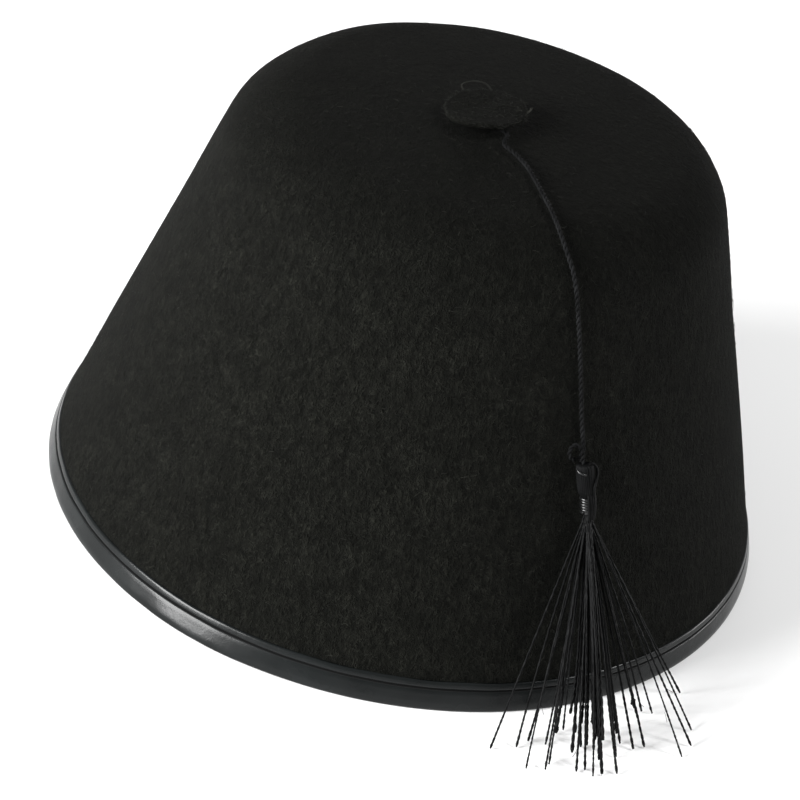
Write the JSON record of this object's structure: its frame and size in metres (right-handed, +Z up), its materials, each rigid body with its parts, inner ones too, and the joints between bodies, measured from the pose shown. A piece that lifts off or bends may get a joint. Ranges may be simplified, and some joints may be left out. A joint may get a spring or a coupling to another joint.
{
  "type": "fez hat",
  "caption": "Brimless felt hat with leaning walls, a soft-edged flat top, a bound rim and a corded tassel that hangs from a small disc on the top.",
  "frame": {"origin": "middle of the hat at the height its bound rim stands on", "axes": "+Z up through the crown, Y along the hat's length from front to back, X across its width, the tassel towards +X and -Y"},
  "size_m": [0.1997, 0.1976, 0.1169],
  "materials": {
    "felt": "needled felt, matt, with fine surface fibres",
    "vinyl": "soft folded vinyl strip, half gloss",
    "thread": "twisted and waxed thread, slight shine"
  },
  "bodies": {
    "root": {"crown": "felt", "edge_binding": "vinyl", "top_button": "felt", "tassel_cord": "thread", "cord_knot": "thread", "tassel_head": "thread", "tassel_tie": "thread", "tassel_skirt": "thread"}
  },
  "joints": []
}
